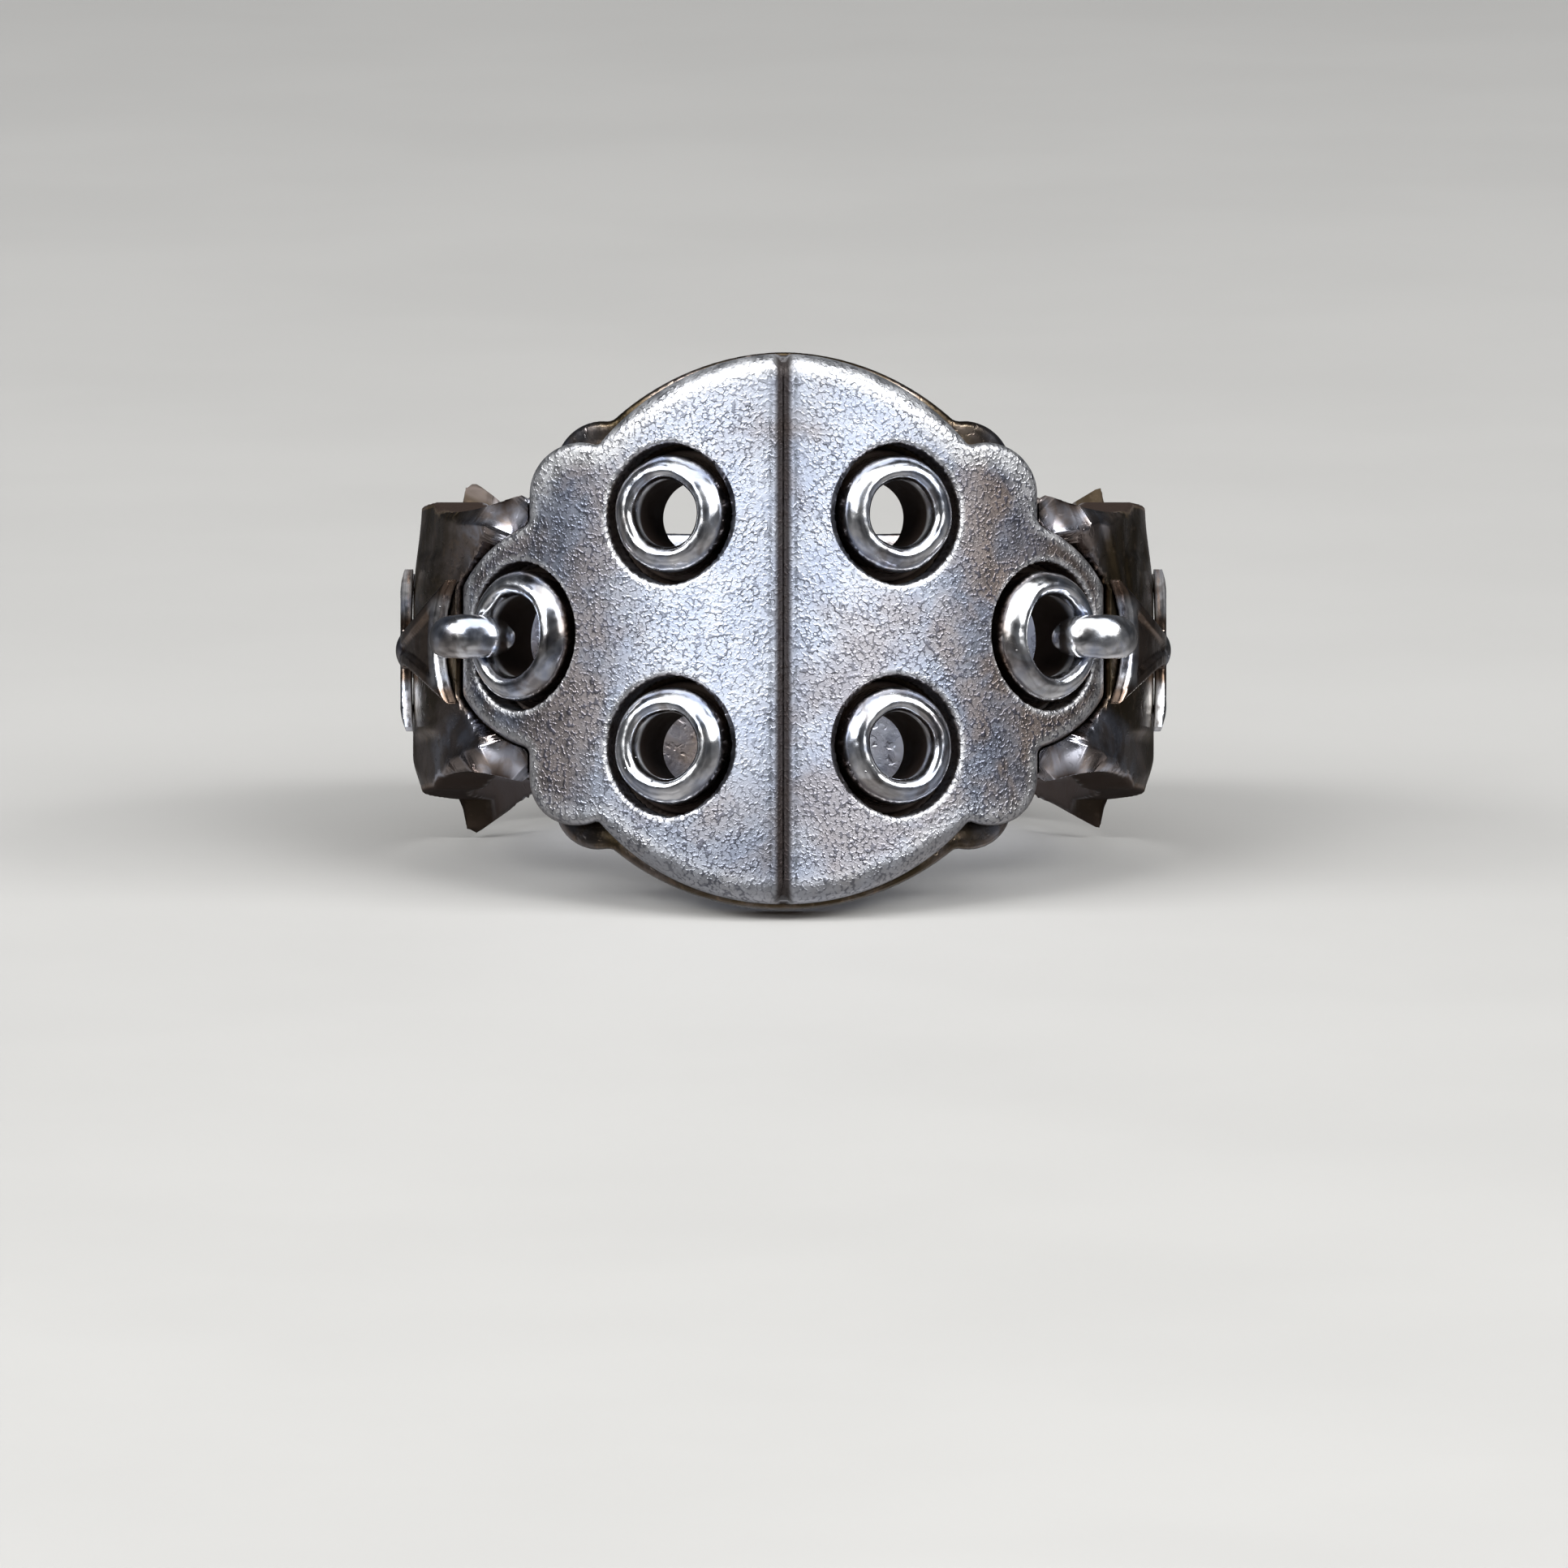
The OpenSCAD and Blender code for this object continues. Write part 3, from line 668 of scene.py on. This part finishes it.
def band_tones(points):
    """Where the band is inside the finger hole, where it gets painted shade, where it is bright, and where
    its silver is cleaner with a partly painted highlight.
    """
    x, front, z = points[:, 0], -points[:, 1], points[:, 2]
    out = np.hypot(x, front)
    half_w = abs(z)
    inside = 1 - soft_step(out, FINGER_R + 0.05, FINGER_R + 0.25)
    # Painted shade in the seats of the eyelets
    painted_band_shade = np.zeros(len(points))
    for side, at, along in eyelet_places():
        across, height, _ = on_bow(points, side, at["angle"], along)
        near = 1 - soft_step(across, at["hole_r"] - 0.02, at["hole_r"] + 0.12)
        painted_band_shade = np.maximum(painted_band_shade, near * soft_step(height, 15.3, 15.5))
    # Cleaner, lighter silver on the shoulders beside the plate, reaching further back on the lower ones,
    # and at the back; beside the plate it is partly a painted highlight
    shoulder = soft_step(abs(x) - 5.5, 0, 2) * soft_step(front, 0.5, 2) * (1 - inside)
    disc = past_shoulder(x, front)
    low = soft_step(-z, 1.8, 3.4)
    clean_and_highlight = shoulder * soft_step(front + 2.6 * low, 4.9, 6.4) * soft_step(disc, -0.5, -0.1)
    clean_and_highlight = np.maximum(clean_and_highlight, 0.8 * soft_step(-front, 4.5, 8.5))
    # Painted shade on the flat of the rims and in their front hollows, on the rear flares and inside the
    # lower rim
    at_front, at_z, hollow_r = FRONT_HOLLOW
    hollow = np.hypot(front - at_front, half_w - at_z) - hollow_r
    under = soft_step(half_w, 4.4, 4.55) * soft_step(front, -3.9, -3.6)
    shade = np.maximum(1 - soft_step(hollow, 0.1, 0.3), under)
    shade = shade * (1 - soft_step(disc, -0.1, -0.03)) * soft_step(out, 10.0, 10.2)
    tip = soft_step(half_w, 4.3, 4.7) * (front < 0) * np.where(z < 0, 0.9, 0.45)
    painted_band_shade = np.maximum(painted_band_shade, np.maximum(shade, tip) * soft_step(abs(x), 6.5, 7.5))
    notch = soft_step(-z, 3.4, 3.9) * inside * soft_step(abs(x), 7.0, 8.0)
    painted_band_shade = np.maximum(painted_band_shade, 0.97 * notch)
    # Bright along the rims at the back
    edge = 0.6 * soft_step(half_w, 3.9, 4.3) * soft_step(-front, 6.5, 7.5) * (1 - inside)
    return {"inside": inside, "painted_band_shade": painted_band_shade, "edge": edge, "clean_and_highlight": clean_and_highlight}


class MakeRingBand(bpy.types.Operator):
    """Makes the band, its flared shoulders and the scalloped base plate"""

    bl_idname = "armor_ring.make_ring_band"
    bl_label = "Ring Band"

    def execute(self, context):
        forms = context.scene.armor_ring_forms
        points, faces = remeshed("ring_band", forms.band_mesh / MM)
        points = settled(points, band_field)
        material = cast_silver(context.scene.armor_ring_finish)
        add_piece("ring_band", points, faces, material, band_tones(points))
        return {"FINISHED"}


def smoothed(profile, rounds=3):
    """Cuts the corners of an open line of points again and again."""
    line = np.array(profile, float)
    for _ in range(rounds):
        a, b = line[:-1], line[1:]
        inner = np.stack([0.75 * a + 0.25 * b, 0.25 * a + 0.75 * b], 1).reshape(-1, 2)
        line = np.concatenate([line[:1], inner, line[-1:]])
    return line


def eyelet_profile(open_r):
    """Section of an eyelet: radius and height over the bow's centre, from its tube's foot outward."""
    roll = [(0.08, 14.2), (0.08, 15.6), (0.08, 16.3), (0.05, 16.75), (0.0, 16.98), (0.0, 17.18),
            (0.05, 17.38), (0.18, 17.51), (0.34, 17.53), (0.54, 17.43), (0.72, 17.2), (0.81, 16.95),
            (0.78, 16.6), (0.78, 16.2), (0.84, 16.0), (1.0, 15.96), (1.02, 15.85), (1.0, 15.72),
            (0.6, 15.7), (0.32, 15.7), (TUBE_WALL, 15.5), (TUBE_WALL, 14.2)]
    return [(open_r + r, h) for r, h in roll]


def bumps(points, scale, offset):
    """Small smooth moves, for the uneven surface that polishing by hand leaves."""
    # Without a set seed the noise, and so the dents, are different in each run
    noise.seed_set(DENT_SEED)
    shift = Vector((offset, 0, 0))
    return np.array([noise.noise_vector(Vector(p) * scale + shift) for p in points.tolist()])


def rows_to_faces(rows, count, flipped, closed=False):
    """Faces between rings of count points, and from the last ring to the first if closed."""
    faces = []
    for i in range(rows if closed else rows - 1):
        here, there = i * count, ((i + 1) % rows) * count
        for j in range(count):
            k = (j + 1) % count
            a, b, c, d = here + j, here + k, there + k, there + j
            faces.append((a, b, c, d) if flipped else (a, d, c, b))
    return faces


def off_bow(across, height, angle):
    """X and Y of places by a right-hand eyelet, from how far across its axis and how high they are."""
    c, s = math.cos(angle), math.sin(angle)
    return across * c + height * s - BOW_X, across * s - height * c + BOW_BACK


def out_of_finger(across, height, angle):
    """Heights along a tube, drawn up until no place is inside the finger hole."""
    for _ in range(12):
        short = FINGER_R + 0.02 - np.hypot(*off_bow(across, height, angle))
        height = height + np.maximum(short, 0)
    return height


class MakeEyelets(bpy.types.Operator):
    """Makes the six polished open eyelets"""

    bl_idname = "armor_ring.make_eyelets"
    bl_label = "Eyelets"

    def execute(self, context):
        material = polished_silver(context.scene.armor_ring_finish)
        dent = context.scene.armor_ring_forms.dent / MM
        turn = np.linspace(0, 2 * math.pi, EYELET_STEPS, endpoint=False)[:, None]
        for number, (name, (side, at, up)) in enumerate(EYELETS.items()):
            line = smoothed(eyelet_profile(at["open_r"]))
            h = np.broadcast_to(line[:, 1], (EYELET_STEPS, len(line)))
            wobble = 0.02 * np.sin(2 * turn + number) + 0.012 * np.sin(5 * turn + 2 * number)
            r = line[:, 0] + wobble * soft_step(h, 16.6, 17.3)
            across = r * np.cos(turn)
            x, y = off_bow(across, out_of_finger(across, h, at["angle"]), at["angle"])
            z = r * np.sin(turn) + up * at["along"]
            points = np.stack([side * x, y, z], 2).reshape(-1, 3)
            points = points + dent * bumps(points, 1.1, number + 9.0)
            faces = rows_to_faces(EYELET_STEPS, len(line), side < 0, closed=True)
            # Painted shade in the tube and at the foot, brown on the outer flank
            r, h = r.reshape(-1), h.reshape(-1)
            in_tube = r < at["open_r"] + 0.25
            painted_shade = np.where(in_tube, 1 - soft_step(h, 16.7, 17.2), 1 - soft_step(h, 15.8, 16.3))
            brown = np.where(in_tube, 0, 0.9 * (1 - soft_step(h, 16.86, 17.24)))
            add_piece(name, points, faces, material, {"painted_shade": painted_shade, "brown": brown})
        return {"FINISHED"}


def link_form():
    """Rings of points round the right link, and the share of its length at each point."""
    line = smoothed(LINK_LINE, 4)
    steps = np.r_[0, np.cumsum(np.hypot(*np.diff(line, axis=0).T))]
    share = (1 - np.cos(np.linspace(0, math.pi, LINK_RINGS))) / 2
    x, y = (np.interp(share * steps[-1], steps, line[:, i]) for i in (0, 1))
    along = np.stack([np.gradient(x), np.gradient(y)], 1)
    along /= np.linalg.norm(along, axis=1, keepdims=True)
    sizes = (LINK_WIDE, LINK_OUT, LINK_IN)
    wide, out, inward = (np.interp(share, LINK_SHARES, size)[:, None] for size in sizes)
    turn = np.linspace(0, 2 * math.pi, LINK_STEPS, endpoint=False)
    lift = np.where(np.cos(turn) > 0, out, inward) * np.cos(turn)
    z = wide * np.sin(turn)
    rings = np.stack([x[:, None] + lift * along[:, 1:], y[:, None] - lift * along[:, :1], z], 2)
    return rings.reshape(-1, 3), np.repeat(share, LINK_STEPS)


class MakeLinks(bpy.types.Operator):
    """Makes the two egg-shaped links over the side eyelets"""

    bl_idname = "armor_ring.make_links"
    bl_label = "Links"

    def execute(self, context):
        material = polished_silver(context.scene.armor_ring_finish)
        dent = context.scene.armor_ring_forms.dent / MM
        right, share = link_form()
        # Painted shade where the link meets the shoulder, brown toward there and at its very start
        painted_shade = 0.8 * soft_step(share, 0.78, 0.9)
        brown = np.maximum(0.7 * soft_step(share, 0.55, 0.75), 0.8 * (1 - soft_step(share, 0.05, 0.12)))
        for side, name in zip(SIDES, ("link_left", "link_right")):
            points = right * (side, 1, 1)
            points = points + dent * bumps(points, 1.6, side + 4.0)
            faces = rows_to_faces(LINK_RINGS, LINK_STEPS, side < 0)
            add_piece(name, points, faces, material, {"painted_shade": painted_shade, "brown": brown})
        return {"FINISHED"}


def cross_tones(points):
    """Where a side cross is brown, and the painted shade where it meets the shoulder."""
    front, z = -points[:, 1] - SHOULDER_FORWARD, points[:, 2]
    high = abs(z)
    up = past_shoulder(points[:, 0], -points[:, 1])
    sunk = soft_step(-flat_distance(front, z, CROSS_OUTLINE), 0.38, 0.5) * (up < CROSS_T)
    # Bright on the front tip, on the short arms and on the boss
    bright = soft_step(front, 3.7, 4.3) * (1 - soft_step(high, 1.1, 1.6))
    bright = np.maximum(bright, soft_step(high, 0.9, 1.3) * (abs(front) < 2.4))
    bright = np.maximum(bright, 1 - soft_step(np.hypot(front, high), 0.5, 0.9))
    brown = np.maximum(0.9 * sunk, 0.95 - 0.9 * bright)
    return {"brown": brown, "painted_shade": 1 - soft_step(up, 0.06, 0.16)}


class MakeSideCrosses(bpy.types.Operator):
    """Makes the flared cross on each shoulder"""

    bl_idname = "armor_ring.make_side_crosses"
    bl_label = "Side Crosses"

    def execute(self, context):
        material = polished_silver(context.scene.armor_ring_finish)
        for name in ("side_cross_left", "side_cross_right"):
            points, faces = remeshed(name, CROSS_MESH)
            points = settled(points, cross_field)
            add_piece(name, points, faces, material, cross_tones(points))
        return {"FINISHED"}


def add_floor(stage):
    """A square of paper, which the ring's silver doesn't mirror."""
    half = stage.floor_width / 2
    corners = [(-half, -half, 0), (half, -half, 0), (half, half, 0), (-half, half, 0)]
    mesh = bpy.data.meshes.new("paper_floor")
    mesh.from_pydata(corners, [], [(0, 1, 2, 3)])
    mesh.materials.append(floor_paper(stage))
    floor = bpy.data.objects.new("paper_floor", mesh)
    floor.visible_glossy = False
    bpy.context.scene.collection.objects.link(floor)


def add_camera(stage):
    """A camera that sees the ring as the photo does, its width spanning PHOTO_WIDTH at the ring."""
    back = Vector((0, -math.cos(stage.camera_height), math.sin(stage.camera_height)))
    up = Vector((0, math.sin(stage.camera_height), math.cos(stage.camera_height)))
    aim = Vector(FINGER_HOLE["pos_m"]) - up * AIM_BELOW + Vector((AIM_RIGHT, 0, 0))
    lens = bpy.data.cameras.new("photo_camera")
    lens.sensor_width = SENSOR
    lens.lens = SENSOR * stage.camera_distance / PHOTO_WIDTH
    lens.clip_start = 0.01
    camera = bpy.data.objects.new("photo_camera", lens)
    camera.location = aim + back * stage.camera_distance
    camera.rotation_euler = (-back).to_track_quat("-Z", "Y").to_euler()
    bpy.context.scene.collection.objects.link(camera)
    bpy.context.scene.camera = camera


def add_air():
    """A world that is grey from below and nearly black from above, in uneven patches."""
    world = bpy.data.worlds.new("studio_air")
    world.use_nodes = True
    tree = world.node_tree
    background = tree.nodes["Background"]
    place = tree.nodes.new("ShaderNodeTexCoord").outputs["Generated"]
    parts = tree.nodes.new("ShaderNodeSeparateXYZ")
    height = tree.nodes.new("ShaderNodeMapRange")
    height.inputs["From Min"].default_value = -1.0
    ramp = tree.nodes.new("ShaderNodeValToRGB")
    low, high = ramp.color_ramp.elements
    low.position, low.color = 0.25, (0.36, 0.35, 0.35, 1)
    high.position, high.color = 0.52, (0.045, 0.047, 0.052, 1)
    patches = tree.nodes.new("ShaderNodeTexNoise")
    patches.inputs["Scale"].default_value = 1.6
    spread = tree.nodes.new("ShaderNodeMapRange")
    for key, value in (("From Min", 0.35), ("From Max", 0.65), ("To Min", 0.35), ("To Max", 1.5)):
        spread.inputs[key].default_value = value
    for output, socket in (
        (place, parts.inputs[0]),
        (parts.outputs["Z"], height.inputs["Value"]),
        (height.outputs[0], ramp.inputs[0]),
        (ramp.outputs[0], background.inputs["Color"]),
        (place, patches.inputs["Vector"]),
        (patches.outputs[0], spread.inputs["Value"]),
        (spread.outputs[0], background.inputs["Strength"]),
    ):
        tree.links.new(output, socket)
    bpy.context.scene.world = world


def lamp_place(azimuth, elevation):
    """A lamp's place in front of the ring, by its angles in degrees."""
    a, e = math.radians(azimuth), math.radians(elevation)
    level = LAMP_DISTANCE * math.cos(e)
    return Vector((level * math.sin(a), -level * math.cos(a), LAMP_DISTANCE * math.sin(e)))


def add_softbox(name, place, size, watts):
    """A soft rectangular light that faces the ring, its size in metres."""
    light = bpy.data.lights.new(name, "AREA")
    light.shape = "RECTANGLE"
    light.size, light.size_y = size
    light.energy = watts
    lamp = bpy.data.objects.new(name, light)
    lamp.location = place
    lamp.rotation_euler = (Vector(LAMP_AIM) - place).to_track_quat("-Z", "Y").to_euler()
    bpy.context.scene.collection.objects.link(lamp)


class MakeStage(bpy.types.Operator):
    """Makes the paper floor, the soft lights and the camera"""

    bl_idname = "armor_ring.make_stage"
    bl_label = "Stage"

    def execute(self, context):
        stage = context.scene.armor_ring_stage
        add_floor(stage)
        add_camera(stage)
        add_air()
        context.scene.view_settings.view_transform = "Standard"
        for side, name in zip(SIDES, ("left_softbox", "right_softbox")):
            add_softbox(name, lamp_place(side * 48, 36), (0.45, 0.5), 3.05)
            add_softbox(f"{name}_small", lamp_place(side * 76, 34), (0.17, 0.17), 1.5)
        add_softbox("top_softbox", lamp_place(0, 72), (0.9, 0.7), 3.2)
        return {"FINISHED"}


class ArmorRingPanel(bpy.types.Panel):
    """Lists the pieces of the ring and its stage"""

    bl_idname = "VIEW3D_PT_armor_ring"
    bl_label = "Armor Ring"
    bl_space_type = "VIEW_3D"
    bl_region_type = "UI"
    bl_category = "Armor Ring"

    def draw(self, context):
        for operator in OPERATORS:
            self.layout.operator(operator.bl_idname)


OPERATORS = (MakeStage, MakeRingBand, MakeArmorPlate, MakeEyelets, MakeLinks, MakeSideCrosses)
SETTINGS = {"armor_ring_finish": RingFinish, "armor_ring_forms": RingForms, "armor_ring_stage": RingStage}


def register():
    for kind in (*SETTINGS.values(), *OPERATORS, ArmorRingPanel):
        bpy.utils.register_class(kind)
    for name, kind in SETTINGS.items():
        setattr(bpy.types.Scene, name, PointerProperty(type=kind))


def unregister():
    for name in SETTINGS:
        delattr(bpy.types.Scene, name)
    for kind in (ArmorRingPanel, *OPERATORS, *SETTINGS.values()):
        bpy.utils.unregister_class(kind)


def main():
    register()
    bpy.ops.armor_ring.make_stage()
    bpy.ops.armor_ring.make_ring_band()
    bpy.ops.armor_ring.make_armor_plate()
    bpy.ops.armor_ring.make_eyelets()
    bpy.ops.armor_ring.make_links()
    bpy.ops.armor_ring.make_side_crosses()


if __name__ == "__main__":
    main()
